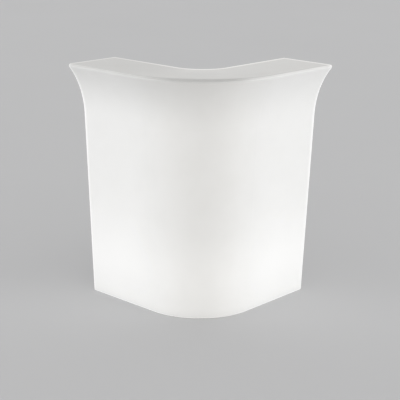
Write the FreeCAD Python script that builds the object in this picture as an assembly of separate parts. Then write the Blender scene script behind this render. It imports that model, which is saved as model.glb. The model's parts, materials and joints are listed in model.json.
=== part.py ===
import FreeCAD, Part
import math
import os

from FreeCAD import Vector

# Illuminated corner bar counter, in millimetres, +Z up.
# Part's frame: guests stand at -Y, the server at +Y, and the origin is on the floor, under its middle.
# Wing's frame: x runs along the right wing from the sharp corner where the two front base lines would meet,
# y runs from the front base line towards the server, and z is the height. The left wing mirrors the right.

# Moulded counter body
COUNTER_HEIGHT = 1100.0  # floor to worktop
WING_LENGTH = 699.0  # sharp base corner to a wing's end face
BASE_DEPTH = 151.0  # front to back of a wing at the floor
CORNER_RADIUS = 294.0  # plan radius of the front wall at the floor
FLARE_HEIGHT = 235.0  # height of the flared band under the worktop
LEAN_OUT = 42.0  # how far the front wall has leaned out where the flare begins
FLARE_OUT = 140.0  # reach of the worktop's front edge past the base, before it is rounded
EDGE_RADIUS = 9.0  # rounding of the long edges
END_ROUND_SHARE = 0.88  # rounding of the end faces' edges, as a share of the long edges' rounding
WALL = 6.0  # thickness of the moulded wall
CAVITY_RADIUS = 3.0  # rounding inside the cavity
SKIRT_GAP = 4.0  # lower edge of the body over the floor
WING_TURN = 45.0  # degrees from the X axis to the right wing

# Fits and cuts
RUN_FIT = 0.05  # radial clearance of threads, inserts and pins
HOLE_ROOM = 0.3  # radial clearance of a screw in a plain hole
OVERRUN = 5.0  # how far a cutting tool runs past the face that it cuts

# Levelling feet
PAD_RADIUS = 20.0
PAD_HEIGHT = 9.0
PAD_CHAMFER = 1.5
POCKET_MARGIN = 4.0  # room round a pad in its pocket
STUD_RADIUS = 5.0
STUD_SEAT = 5.0  # how deep the stud sits in its pad
STUD_LENGTH = 40.0  # thread above the hexagon
STUD_TIP_ROOM = 3.0  # free depth past the stud's tip
HEX_FLATS = 17.0
HEX_HEIGHT = 6.0
FOOT_STOP_GAP = 0.3  # hexagon to insert when the foot is screwed right in
FOOT_INSERT_RADIUS = 9.0
FOOT_INSERT_LENGTH = 25.0
FOOT_BOSS_WALL = 6.0
FOOT_EDGE_LAND = 1.0  # flat cavity floor between a foot's cup and the rounded wall
FOOT_END_INSET = 60.0  # foot's axis from the wing's end face

# Rear lamp hatches
HATCH_WIDTH = 200.0
HATCH_HEIGHT = 270.0
HATCH_RADIUS = 24.0
HATCH_CENTRE = 230.0  # height of a hatch's middle
HATCH_LAND = 25.0  # band round the opening that carries the gasket and the screws
OPENING_RADIUS = 12.0
COVER_THICKNESS = 4.5
COVER_GAP = 1.0  # cover to the rim of its recess
COVER_ROUND = 1.2
GASKET_THICKNESS = 1.5
GASKET_MARGIN = 2.0  # gasket to the cover's edge and to the opening

# Hatch screws and their inserts
SCREW_RADIUS = 2.5
SCREW_HEAD_RADIUS = 4.75
SCREW_HEAD_HEIGHT = 2.8
SCREW_HEAD_ROUND = 1.0
SOCKET_FLATS = 3.0
SOCKET_DEPTH = 1.6
HATCH_INSERT_RADIUS = 4.0
HATCH_INSERT_LENGTH = 12.0
HATCH_BOSS_WALL = 4.0
SCREW_TIP_GAP = 2.0  # screw's tip to the insert's inner end

# Lamp brackets and their fixings
BRACKET_WIDTH = 90.0
BRACKET_THICKNESS = 2.0
BRACKET_REACH = 110.0  # cover to the shelf's free edge
BRACKET_FLANGE = 40.0
SHELF_OVER_SILL = 55.0  # shelf's underside over the opening's lower edge
LAMP_REACH = 70.0  # cover to the lamp's axis
FIXING_RADIUS = 2.0
FIXING_HEAD_RADIUS = 3.8
FIXING_HEAD_HEIGHT = 2.4
FIXING_NUT_FLATS = 7.0
FIXING_NUT_HEIGHT = 3.2
FIXING_TIP = 1.0  # thread past the nut
FLANGE_SCREW_SPREAD = 30.0  # flange screws on each side of the lamp's axis
FLANGE_SCREW_RISE = 26.0  # flange screws over the shelf's underside

# Lamp holders and grommets
HOLDER_FLANGE_RADIUS = 30.0
HOLDER_FLANGE_HEIGHT = 5.0
HOLDER_RADIUS = 19.5
HOLDER_HEIGHT = 48.0
HOLDER_BORE_DEPTH = 28.0
HOLDER_BORE_ROOM = 0.4
HOLDER_ENTRY_DEPTH = 10.0  # cable entry in the holder's underside
HOLDER_SCREW_PLACE = 24.5  # holder's screws from its axis
GROMMET_WALL = 2.0
GROMMET_LIP = 2.5
GROMMET_LIP_HEIGHT = 2.0

# Bulbs
CAP_RADIUS = 13.2
CAP_SHOW = 1.0  # cap above the holder's rim
CONTACT_RADIUS = 4.5
CONTACT_LENGTH = 3.0
BULB_NECK_RADIUS = 14.5
BULB_BODY_RADIUS = 27.5
BULB_BODY_HEIGHT = 34.0
BULB_FIN_COUNT = 18
BULB_FIN_GAP = 1.6
BULB_FIN_DEPTH = 4.0
BULB_FIN_MARGIN = 4.0  # plain band above and below the fins
GLOBE_RADIUS = 30.0
GLOBE_WALL = 1.2
BOARD_RADIUS = 22.0
BOARD_THICKNESS = 1.6
CHIP_COUNT = 12
CHIP_SIZE = 3.0
CHIP_HEIGHT = 0.8
CHIP_CIRCLE = 16.0

# Link cable and clips
CABLE_RADIUS = 3.5
CABLE_BEND = 40.0
CLIP_LENGTH = 12.0
CLIP_SPAN = 22.0
CLIP_COVER = 3.0  # clip's thickness over the cable
CORNER_CLIP_TURN = 22.5  # degrees from the middle plane to a corner clip

# Terminal block on the right shelf
BLOCK_LENGTH = 34.0
BLOCK_WIDTH = 16.0
BLOCK_HEIGHT = 13.0
BLOCK_GAP = 2.0  # block to the holder's flange
BLOCK_POLES = 3
WIRE_HOLE_RADIUS = 2.0
WIRE_HOLE_HEIGHT = 5.0
POLE_SCREW_RADIUS = 1.8
POLE_ROW_SHARES = (0.25, 0.75)  # screw rows across the block, as shares of its width

# Cable gland and light switch, both on the right cover
CONTROL_RISE = 27.0  # their axes over the opening's lower edge
CONTROL_SPREAD = 35.0  # their axes on each side of the hatch's middle
GLAND_THREAD_RADIUS = 10.0
GLAND_FLATS = 24.0
GLAND_HEX_HEIGHT = 6.0
GLAND_NECK_RADIUS = 9.0
GLAND_NECK_LENGTH = 10.0
GLAND_BORE_RADIUS = 6.5
GLAND_TAIL = 3.0  # thread past the lock nut
LOCK_NUT_HEIGHT = 5.0
SEAL_BORE_RADIUS = 3.6
SEAL_LENGTH = 10.0
SEAL_STAND = 2.0  # seal past the neck
DOME_RADIUS = 12.0
DOME_LENGTH = 18.0
DOME_MOUTH_RADIUS = 5.8
DOME_MOUTH_LENGTH = 4.5
DOME_ROUND = 3.0
DOME_GAP = 0.3  # dome nut to the hexagon below it
BEZEL_WIDTH = 15.0
BEZEL_HEIGHT = 21.0
BEZEL_THICKNESS = 2.0
BEZEL_ROUND = 1.0
HOUSING_MARGIN = 1.1  # bezel's edge past the housing
HOUSING_DEPTH = 11.0
ROCKER_RADIUS = 8.0
ROCKER_WIDTH = 10.0
ROCKER_GAP = 0.2
ROCKER_RISE = 3.0  # middle of the rocker's face over its pivot
ROCKER_ANGLE = 12.0  # degrees of tilt on each side of level
ROCKER_PIN_RADIUS = 1.2
ROCKER_PIN_REACH = 0.8
BLADE_WIDTH = 4.8
BLADE_THICKNESS = 0.8
BLADE_LENGTH = 8.0
BLADE_SPREAD = 5.0

# Directions
PARALLEL_COSINE = 0.999  # least cosine between two lines that count as parallel
UP = Vector(0, 0, 1)
OUT = Vector(0, 1, 0)
ALONG = Vector(1, 0, 0)

# Places worked out from the sizes above
END_RADIUS = END_ROUND_SHARE * EDGE_RADIUS
FLARE_START = COUNTER_HEIGHT - FLARE_HEIGHT
LEAN = math.atan2(LEAN_OUT, FLARE_START - SKIRT_GAP)
FLOOR_TOP = SKIRT_GAP + WALL
POCKET_RADIUS = PAD_RADIUS + POCKET_MARGIN
POCKET_TOP = PAD_HEIGHT + HEX_HEIGHT + FOOT_STOP_GAP
CUP_RADIUS = POCKET_RADIUS + WALL
FOOT_EDGE_INSET = WALL + CAVITY_RADIUS + FOOT_EDGE_LAND + CUP_RADIUS
HATCH_ALONG = (CORNER_RADIUS + WING_LENGTH) / 2
RECESS_DEPTH = COVER_THICKNESS + GASKET_THICKNESS
RECESS_FACE = BASE_DEPTH - RECESS_DEPTH
OPENING_WIDTH = HATCH_WIDTH - 2 * HATCH_LAND
OPENING_HEIGHT = HATCH_HEIGHT - 2 * HATCH_LAND
SILL = HATCH_CENTRE - OPENING_HEIGHT / 2
COVER_INSIDE = BASE_DEPTH - COVER_THICKNESS
SHELF_UNDER = SILL + SHELF_OVER_SILL
SHELF_TOP = SHELF_UNDER + BRACKET_THICKNESS
LAMP_Y = COVER_INSIDE - LAMP_REACH
HOLDER_TOP = SHELF_TOP + HOLDER_HEIGHT
CAP_FOOT = HOLDER_TOP - HOLDER_BORE_DEPTH
CAP_TOP = HOLDER_TOP + CAP_SHOW
BULB_TOP = CAP_TOP + BULB_BODY_HEIGHT
ENTRY_RADIUS = CABLE_RADIUS + HOLE_ROOM
GROMMET_RADIUS = CABLE_RADIUS + GROMMET_WALL
CONTROL_HEIGHT = SILL + CONTROL_RISE
PIVOT_Y = BASE_DEPTH + BEZEL_THICKNESS - ROCKER_RISE
SWITCH_ALONG = HATCH_ALONG + CONTROL_SPREAD
GLAND_ALONG = HATCH_ALONG - CONTROL_SPREAD


def flare_circle():
    """Centre (reach, height) and radius of the flare, from the leaning wall's end to the worktop's edge."""
    normal = (math.cos(LEAN), -math.sin(LEAN))
    chord = (FLARE_OUT - LEAN_OUT, FLARE_HEIGHT)
    across = chord[0] * normal[0] + chord[1] * normal[1]
    radius = (chord[0] ** 2 + chord[1] ** 2) / (2 * across)
    return LEAN_OUT + radius * normal[0], FLARE_START + radius * normal[1], radius


def rim_centre(inset, rounding):
    """Centre (reach, height) of the rounding from flare to worktop, on a skin set in by inset."""
    reach, height, radius = flare_circle()
    rim_height = COUNTER_HEIGHT - inset - rounding
    apart = radius + inset + rounding
    return reach - math.sqrt(apart ** 2 - (rim_height - height) ** 2), rim_height


def lip_reach():
    """How far the rounded worktop edge reaches past the front base line."""
    return rim_centre(0, EDGE_RADIUS)[0] + EDGE_RADIUS


def apex_y():
    """The part's Y at the sharp base corner, so that the box is centred on the origin."""
    front = CORNER_RADIUS * math.sqrt(2) - CORNER_RADIUS - lip_reach()
    back = (WING_LENGTH + BASE_DEPTH - 2 * END_RADIUS) / math.sqrt(2) + END_RADIUS
    return -(front + back) / 2


APEX = Vector(0, apex_y(), 0)


def to_part(shape):
    """Carries a shape from the right wing's frame to the part's frame."""
    placed = shape.copy()
    placed.rotate(Vector(0, 0, 0), UP, WING_TURN)
    placed.translate(APEX)
    return placed


def mirrored(shape):
    """The left twin of a shape on the right, in the part's frame."""
    return shape.mirror(Vector(0, 0, 0), ALONG)


def rod(radius, length, base, axis=UP):
    """A plain cylinder."""
    return Part.makeCylinder(radius, length, base, axis)


def ring(outer, inner, length, base, axis=UP):
    """A plain tube."""
    return rod(outer, length, base, axis).cut(rod(inner, length, base, axis))


def hex_bar(flats, length, base, axis=UP):
    """A hexagonal bar from base along axis."""
    corner = flats / math.sqrt(3)
    turns = [math.radians(60 * k) for k in range(7)]
    wire = Part.makePolygon([Vector(corner * math.cos(a), corner * math.sin(a), 0) for a in turns])
    bar = Part.Face(wire).extrude(UP * length)
    bar.Placement = FreeCAD.Placement(base, FreeCAD.Rotation(UP, axis))
    return bar


def edges_along(shape, axis):
    """The straight edges of a shape that run along an axis."""
    return [e for e in shape.Edges if abs(e.tangentAt(e.FirstParameter).dot(axis)) > PARALLEL_COSINE]


def block(centre, near, size):
    """A box centred on (x, z) = centre, from y = near, with size (x, y, z)."""
    return Part.makeBox(*size, Vector(centre[0] - size[0] / 2, near, centre[1] - size[2] / 2))


def plate(width, height, thickness, rounding, near):
    """A round-cornered upright plate on the hatch's middle, from y = near towards the server."""
    sheet = block((HATCH_ALONG, HATCH_CENTRE), near, (width, thickness, height))
    return sheet.makeFillet(rounding, edges_along(sheet, OUT))


def turned(points, centre):
    """Turns a closed outline of (radius, height) points about the upright axis through centre."""
    wire = Part.makePolygon([Vector(r, 0, h) for r, h in points + points[:1]])
    solid = Part.Face(wire).revolve(Vector(0, 0, 0), UP, 360)
    solid.translate(centre)
    return solid


def group(shapes):
    """Separate solids kept together in one node."""
    return Part.makeCompound(shapes)


def section_face(inset, rounding):
    """The wing's cross-section at the start of its straight run, on a skin set in by inset."""
    reach, height, radius = flare_circle()
    radius += inset
    lower, upper, back = SKIRT_GAP + inset, COUNTER_HEIGHT - inset, BASE_DEPTH - inset

    def at(o, z):
        return Vector(CORNER_RADIUS, -o, z)

    def on_circle(o, z, size, angle):
        return at(o + size * math.cos(angle), z + size * math.sin(angle))

    # front foot: rounding between the base and the leaning wall
    foot_o = (lower - SKIRT_GAP) * math.tan(LEAN) - inset / math.cos(LEAN)
    run = rounding * math.tan((math.pi / 2 - LEAN) / 2)
    foot_end = at(foot_o - run, lower)
    foot_start = at(foot_o + run * math.sin(LEAN), lower + run * math.cos(LEAN))
    foot_mid = on_circle(foot_o - run, lower + rounding, rounding, -(math.pi / 2 + LEAN) / 2)

    # flare and rim
    rim_o, rim_z = rim_centre(inset, rounding)
    flare_from = math.pi - LEAN
    flare_to = math.atan2(rim_z - height, rim_o - reach)
    flare_start = on_circle(reach, height, radius, flare_from)
    flare_mid = on_circle(reach, height, radius, (flare_from + flare_to) / 2)
    flare_end = on_circle(reach, height, radius, flare_to)
    rim_mid = on_circle(rim_o, rim_z, rounding, (flare_to - math.pi / 2) / 2)
    rim_end = at(rim_o, upper)

    # back edges
    top_back = at(-back + rounding, upper)
    top_mid = on_circle(-back + rounding, upper - rounding, rounding, math.pi * 3 / 4)
    back_top = at(-back, upper - rounding)
    back_low = at(-back, lower + rounding)
    low_mid = on_circle(-back + rounding, lower + rounding, rounding, math.pi * 5 / 4)
    low_back = at(-back + rounding, lower)

    edges = [
        Part.LineSegment(foot_start, flare_start),
        Part.Arc(flare_start, flare_mid, flare_end),
        Part.Arc(flare_end, rim_mid, rim_end),
        Part.LineSegment(rim_end, top_back),
        Part.Arc(top_back, top_mid, back_top),
        Part.LineSegment(back_top, back_low),
        Part.Arc(back_low, low_mid, low_back),
        Part.LineSegment(low_back, foot_end),
        Part.Arc(foot_end, foot_mid, foot_start),
    ]
    return Part.Face(Part.Wire([e.toShape() for e in edges]))


def swept_body(inset, rounding, end_rounding):
    """The two wings and the corner between them, in the part's frame."""
    section = section_face(inset, rounding)
    end = WING_LENGTH - inset
    wing = section.extrude(ALONG * (end - CORNER_RADIUS))
    end_face = max(wing.Faces, key=lambda f: f.CenterOfMass.x)
    wing = to_part(wing.makeFillet(end_rounding, end_face.Edges))
    corner = to_part(section.revolve(Vector(CORNER_RADIUS, CORNER_RADIUS, 0), UP * -1, 2 * WING_TURN))
    return wing.fuse([corner, mirrored(wing)]).removeSplitter()


def hatch_screw_places():
    """The (x, z) of the six screws in a hatch's land."""
    half_width = (HATCH_WIDTH - HATCH_LAND) / 2
    half_height = (HATCH_HEIGHT - HATCH_LAND) / 2
    rows = (-half_height, 0, half_height)
    return [(HATCH_ALONG + side, HATCH_CENTRE + row) for side in (-half_width, half_width) for row in rows]


def foot_places():
    """The part's place of each levelling foot's axis, by name."""
    end = WING_LENGTH - FOOT_END_INSET
    front = to_part(Part.Vertex(end, FOOT_EDGE_INSET, 0)).Point
    back = to_part(Part.Vertex(end, BASE_DEPTH - FOOT_EDGE_INSET, 0)).Point
    corner_y = APEX.y + CORNER_RADIUS * math.sqrt(2) - (CORNER_RADIUS - FOOT_EDGE_INSET)
    places = {"corner": Vector(0, corner_y, 0)}
    for end_name, point in (("front", front), ("back", back)):
        places["right_" + end_name] = point
        places["left_" + end_name] = Vector(-point.x, point.y, point.z)
    return places


def foot_boss(place):
    """Solid kept inside the body over one foot."""
    cup = rod(CUP_RADIUS, POCKET_TOP + WALL, place)
    height = STUD_LENGTH + STUD_TIP_ROOM + FOOT_BOSS_WALL
    return cup.fuse(rod(FOOT_INSERT_RADIUS + FOOT_BOSS_WALL, height, place + UP * POCKET_TOP))


def foot_cut(place):
    """Pocket, insert seat and stud room cut into the body for one foot."""
    pocket = rod(POCKET_RADIUS, POCKET_TOP - SKIRT_GAP + OVERRUN, place + UP * (SKIRT_GAP - OVERRUN))
    seat = rod(FOOT_INSERT_RADIUS + RUN_FIT, FOOT_INSERT_LENGTH, place + UP * POCKET_TOP)
    room = rod(STUD_RADIUS + HOLE_ROOM, STUD_LENGTH + STUD_TIP_ROOM, place + UP * POCKET_TOP)
    return pocket.fuse([seat, room])


def hatch_boss():
    """Wall kept behind a hatch's recess, with a boss for each screw insert, in the wing's frame."""
    width, height = HATCH_WIDTH + 2 * WALL, HATCH_HEIGHT + 2 * WALL
    backing = plate(width, height, RECESS_DEPTH + WALL, HATCH_RADIUS + WALL, RECESS_FACE - WALL)
    depth = HATCH_INSERT_LENGTH + HATCH_BOSS_WALL
    radius = HATCH_INSERT_RADIUS + HATCH_BOSS_WALL
    bosses = [rod(radius, depth, Vector(x, RECESS_FACE - depth, z), OUT) for x, z in hatch_screw_places()]
    return backing.fuse(bosses)


def hatch_cut():
    """A hatch's recess, opening and insert seats, in the wing's frame."""
    recess = plate(HATCH_WIDTH, HATCH_HEIGHT, RECESS_DEPTH + OVERRUN, HATCH_RADIUS, RECESS_FACE)
    through = 2 * (HATCH_INSERT_LENGTH + HATCH_BOSS_WALL + OVERRUN)
    opening = plate(OPENING_WIDTH, OPENING_HEIGHT, through, OPENING_RADIUS, BASE_DEPTH - through)
    near = RECESS_FACE - HATCH_INSERT_LENGTH
    radius = HATCH_INSERT_RADIUS + RUN_FIT
    seats = [rod(radius, HATCH_INSERT_LENGTH, Vector(x, near, z), OUT) for x, z in hatch_screw_places()]
    return recess.fuse([opening] + seats)


def counter_shell():
    """The hollow moulded body, with its foot pockets and hatch recesses."""
    boss, cut = to_part(hatch_boss()), to_part(hatch_cut())
    feet = foot_places().values()
    cavity = swept_body(WALL, CAVITY_RADIUS, END_ROUND_SHARE * CAVITY_RADIUS)
    cavity = cavity.cut([foot_boss(p) for p in feet] + [boss, mirrored(boss)])
    shell = swept_body(0, EDGE_RADIUS, END_RADIUS).cut(cavity)
    return shell.cut([foot_cut(p) for p in feet] + [cut, mirrored(cut)]).removeSplitter()


def foot_insert(place):
    """Threaded insert moulded over a foot's pocket."""
    return ring(FOOT_INSERT_RADIUS, STUD_RADIUS + RUN_FIT, FOOT_INSERT_LENGTH, place + UP * POCKET_TOP)


def foot_pad(place):
    """Round glide under a foot, with a blind seat for its stud."""
    seat = PAD_HEIGHT - STUD_SEAT
    outline = [
        (0, 0),
        (PAD_RADIUS - PAD_CHAMFER, 0),
        (PAD_RADIUS, PAD_CHAMFER),
        (PAD_RADIUS, seat),
        (HEX_FLATS / 2, PAD_HEIGHT),
        (STUD_RADIUS + RUN_FIT, PAD_HEIGHT),
        (STUD_RADIUS + RUN_FIT, seat),
        (0, seat),
    ]
    return turned(outline, place)


def foot_stud(place):
    """Foot's stud: a spigot in the pad, a hexagon for a spanner and the thread."""
    spigot = rod(STUD_RADIUS, STUD_SEAT, place + UP * (PAD_HEIGHT - STUD_SEAT))
    hexagon = hex_bar(HEX_FLATS, HEX_HEIGHT, place + UP * PAD_HEIGHT)
    thread = rod(STUD_RADIUS, STUD_LENGTH, place + UP * (PAD_HEIGHT + HEX_HEIGHT))
    return spigot.fuse([hexagon, thread]).removeSplitter()


def shank(radius, length, seat, axis=OUT):
    """A screw's thread, running back from the seat of its head."""
    return rod(radius, length, seat - axis * length, axis)


def hatch_screw(x, z):
    """Round-headed socket screw through a hatch's cover and gasket into its insert."""
    seat = Vector(x, BASE_DEPTH, z)
    head = rod(SCREW_HEAD_RADIUS, SCREW_HEAD_HEIGHT, seat, OUT)
    rim = max((e for e in head.Edges if e.Closed), key=lambda e: e.CenterOfMass.y)
    head = head.makeFillet(SCREW_HEAD_ROUND, [rim])
    length = RECESS_DEPTH + HATCH_INSERT_LENGTH - SCREW_TIP_GAP
    socket_floor = seat + OUT * (SCREW_HEAD_HEIGHT - SOCKET_DEPTH)
    socket = hex_bar(SOCKET_FLATS, SOCKET_DEPTH + OVERRUN, socket_floor, OUT)
    return head.fuse(shank(SCREW_RADIUS, length, seat)).cut(socket)


def hatch_insert(x, z):
    """Threaded insert for one hatch screw."""
    near = RECESS_FACE - HATCH_INSERT_LENGTH
    return ring(HATCH_INSERT_RADIUS, SCREW_RADIUS + RUN_FIT, HATCH_INSERT_LENGTH, Vector(x, near, z), OUT)


def land_holes(near, depth):
    """Clearance holes for a hatch's screws."""
    return [rod(SCREW_RADIUS + HOLE_ROOM, depth, Vector(x, near, z), OUT) for x, z in hatch_screw_places()]


def flange_screw_places():
    """The (x, z) of the two screws that hold a bracket on its cover."""
    return [(HATCH_ALONG + side * FLANGE_SCREW_SPREAD, SHELF_UNDER + FLANGE_SCREW_RISE) for side in (-1, 1)]


def holder_screw_places():
    """The (x, y) of the two screws that hold a lamp holder on its shelf."""
    return [(HATCH_ALONG + side * HOLDER_SCREW_PLACE, LAMP_Y) for side in (-1, 1)]


def fixing_holes(near):
    """Clearance holes through a cover and a bracket's flange for the flange screws."""
    radius, depth = FIXING_RADIUS + HOLE_ROOM, BASE_DEPTH - near + OVERRUN
    return [rod(radius, depth, Vector(x, near, z), OUT) for x, z in flange_screw_places()]


def hatch_cover():
    """Plain cover of one hatch, flush with the back wall."""
    width, height = HATCH_WIDTH - 2 * COVER_GAP, HATCH_HEIGHT - 2 * COVER_GAP
    cover = plate(width, height, COVER_THICKNESS, HATCH_RADIUS - COVER_GAP, COVER_INSIDE)
    outer = max(cover.Faces, key=lambda f: f.CenterOfMass.y)
    cover = cover.makeFillet(COVER_ROUND, outer.Edges)
    near = COVER_INSIDE - OVERRUN
    return cover.cut(land_holes(near, COVER_THICKNESS + 2 * OVERRUN) + fixing_holes(near))


def control_cover():
    """The right cover, with the holes for the gland and the switch."""
    near, depth = COVER_INSIDE - OVERRUN, COVER_THICKNESS + 2 * OVERRUN
    gland_hole = rod(GLAND_THREAD_RADIUS + HOLE_ROOM, depth, Vector(GLAND_ALONG, near, CONTROL_HEIGHT), OUT)
    width, height = housing_size()
    size = (width + 2 * HOLE_ROOM, depth, height + 2 * HOLE_ROOM)
    return hatch_cover().cut([gland_hole, block((SWITCH_ALONG, CONTROL_HEIGHT), near, size)])


def hatch_gasket():
    """Flat gasket between a cover and its land."""
    rim = COVER_GAP + GASKET_MARGIN
    width, height = HATCH_WIDTH - 2 * rim, HATCH_HEIGHT - 2 * rim
    sheet = plate(width, height, GASKET_THICKNESS, HATCH_RADIUS - rim, RECESS_FACE)
    width, height = OPENING_WIDTH + 2 * GASKET_MARGIN, OPENING_HEIGHT + 2 * GASKET_MARGIN
    hole = plate(width, height, GASKET_THICKNESS, OPENING_RADIUS + GASKET_MARGIN, RECESS_FACE)
    return sheet.cut([hole] + land_holes(RECESS_FACE, GASKET_THICKNESS))


def lamp_bracket():
    """Bent bracket: a flange on the cover and a shelf that carries the lamp."""
    flange = block(
        (HATCH_ALONG, SHELF_UNDER + BRACKET_FLANGE / 2),
        COVER_INSIDE - BRACKET_THICKNESS,
        (BRACKET_WIDTH, BRACKET_THICKNESS, BRACKET_FLANGE),
    )
    shelf = block(
        (HATCH_ALONG, SHELF_UNDER + BRACKET_THICKNESS / 2),
        COVER_INSIDE - BRACKET_REACH,
        (BRACKET_WIDTH, BRACKET_REACH, BRACKET_THICKNESS),
    )
    bent = flange.fuse(shelf).removeSplitter()
    drop = BRACKET_THICKNESS + 2 * OVERRUN
    under = SHELF_UNDER - OVERRUN
    holes = [rod(FIXING_RADIUS + HOLE_ROOM, drop, Vector(x, y, under)) for x, y in holder_screw_places()]
    entry = rod(GROMMET_RADIUS, drop, Vector(HATCH_ALONG, LAMP_Y, under))
    return bent.cut(holes + [entry] + fixing_holes(COVER_INSIDE - BRACKET_THICKNESS - OVERRUN))


def fixing(seat, axis, gripped):
    """One screw with its head on its seat, and the nut past the gripped thickness."""
    head = rod(FIXING_HEAD_RADIUS, FIXING_HEAD_HEIGHT, seat, axis)
    thread = shank(FIXING_RADIUS, gripped + FIXING_NUT_HEIGHT + FIXING_TIP, seat, axis)
    nut_base = seat - axis * (gripped + FIXING_NUT_HEIGHT)
    nut = hex_bar(FIXING_NUT_FLATS, FIXING_NUT_HEIGHT, nut_base, axis)
    nut = nut.cut(rod(FIXING_RADIUS + RUN_FIT, FIXING_NUT_HEIGHT, nut_base, axis))
    return [head.fuse(thread).removeSplitter(), nut]


def lamp_fixings():
    """Screws and nuts of one bracket and its lamp holder."""
    solids = []
    for x, z in flange_screw_places():
        solids += fixing(Vector(x, BASE_DEPTH, z), OUT, COVER_THICKNESS + BRACKET_THICKNESS)
    for x, y in holder_screw_places():
        seat = Vector(x, y, SHELF_TOP + HOLDER_FLANGE_HEIGHT)
        solids += fixing(seat, UP, HOLDER_FLANGE_HEIGHT + BRACKET_THICKNESS)
    return group(solids)


def lamp_axis(height):
    """A point on the lamp's axis, in the wing's frame."""
    return Vector(HATCH_ALONG, LAMP_Y, height)


def lamp_holder():
    """Screw lamp holder on the shelf, with a cable entry below."""
    body = rod(HOLDER_FLANGE_RADIUS, HOLDER_FLANGE_HEIGHT, lamp_axis(SHELF_TOP))
    body = body.fuse(rod(HOLDER_RADIUS, HOLDER_HEIGHT, lamp_axis(SHELF_TOP))).removeSplitter()
    bore = rod(CAP_RADIUS + HOLDER_BORE_ROOM, HOLDER_BORE_DEPTH, lamp_axis(CAP_FOOT))
    lip_room = rod(GROMMET_RADIUS + GROMMET_LIP, GROMMET_LIP_HEIGHT, lamp_axis(SHELF_TOP))
    entry = rod(ENTRY_RADIUS, HOLDER_ENTRY_DEPTH, lamp_axis(SHELF_TOP))
    radius = FIXING_RADIUS + HOLE_ROOM
    holes = [rod(radius, HOLDER_FLANGE_HEIGHT, Vector(x, y, SHELF_TOP)) for x, y in holder_screw_places()]
    return body.cut([bore, lip_room, entry] + holes)


def shelf_grommet():
    """Grooved grommet in the shelf, round the cable."""
    sleeve = rod(GROMMET_RADIUS, BRACKET_THICKNESS, lamp_axis(SHELF_UNDER))
    lips = [
        rod(GROMMET_RADIUS + GROMMET_LIP, GROMMET_LIP_HEIGHT, lamp_axis(base))
        for base in (SHELF_UNDER - GROMMET_LIP_HEIGHT, SHELF_TOP)
    ]
    low = lamp_axis(SHELF_UNDER - GROMMET_LIP_HEIGHT)
    bore = rod(CABLE_RADIUS + RUN_FIT, BRACKET_THICKNESS + 2 * GROMMET_LIP_HEIGHT, low)
    return sleeve.fuse(lips).removeSplitter().cut(bore)


def bulb_cap():
    """Screw cap of a bulb, with the contact at its foot."""
    outline = [
        (0, 0),
        (CONTACT_RADIUS, 0),
        (CAP_RADIUS, CONTACT_LENGTH),
        (CAP_RADIUS, CAP_TOP - CAP_FOOT),
        (0, CAP_TOP - CAP_FOOT),
    ]
    return turned(outline, lamp_axis(CAP_FOOT))


def bulb_body():
    """Tapered finned body of a bulb."""
    cone = Part.makeCone(BULB_NECK_RADIUS, BULB_BODY_RADIUS, BULB_BODY_HEIGHT, lamp_axis(CAP_TOP))
    tall = BULB_BODY_HEIGHT - 2 * BULB_FIN_MARGIN
    slope = math.degrees(math.atan2(BULB_BODY_RADIUS - BULB_NECK_RADIUS, BULB_BODY_HEIGHT))
    slots = []
    for k in range(BULB_FIN_COUNT):
        low = Vector(BULB_NECK_RADIUS - BULB_FIN_DEPTH, -BULB_FIN_GAP / 2, BULB_FIN_MARGIN)
        slot = Part.makeBox(BULB_FIN_DEPTH + BULB_BODY_RADIUS, BULB_FIN_GAP, tall, low)
        slot.rotate(Vector(BULB_NECK_RADIUS, 0, 0), OUT, slope)
        slot.rotate(Vector(0, 0, 0), UP, 360 * k / BULB_FIN_COUNT)
        slot.translate(lamp_axis(CAP_TOP))
        slots.append(slot)
    return cone.cut(slots)


def bulb_globe():
    """Hollow diffusing globe that stands on a bulb's body."""
    drop = math.sqrt(GLOBE_RADIUS ** 2 - BULB_BODY_RADIUS ** 2)
    centre = lamp_axis(BULB_TOP + drop)
    hollow = Part.makeSphere(GLOBE_RADIUS, centre).cut(Part.makeSphere(GLOBE_RADIUS - GLOBE_WALL, centre))
    below = rod(2 * GLOBE_RADIUS, GLOBE_RADIUS, lamp_axis(BULB_TOP - GLOBE_RADIUS))
    return hollow.cut(below)


def led_board():
    """Round board with its ring of light chips."""
    solids = [rod(BOARD_RADIUS, BOARD_THICKNESS, lamp_axis(BULB_TOP))]
    low = Vector(CHIP_CIRCLE - CHIP_SIZE / 2, -CHIP_SIZE / 2, 0)
    for k in range(CHIP_COUNT):
        chip = Part.makeBox(CHIP_SIZE, CHIP_SIZE, CHIP_HEIGHT, low)
        chip.rotate(Vector(0, 0, 0), UP, 360 * k / CHIP_COUNT)
        chip.translate(lamp_axis(BULB_TOP + BOARD_THICKNESS))
        solids.append(chip)
    return group(solids)


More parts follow.
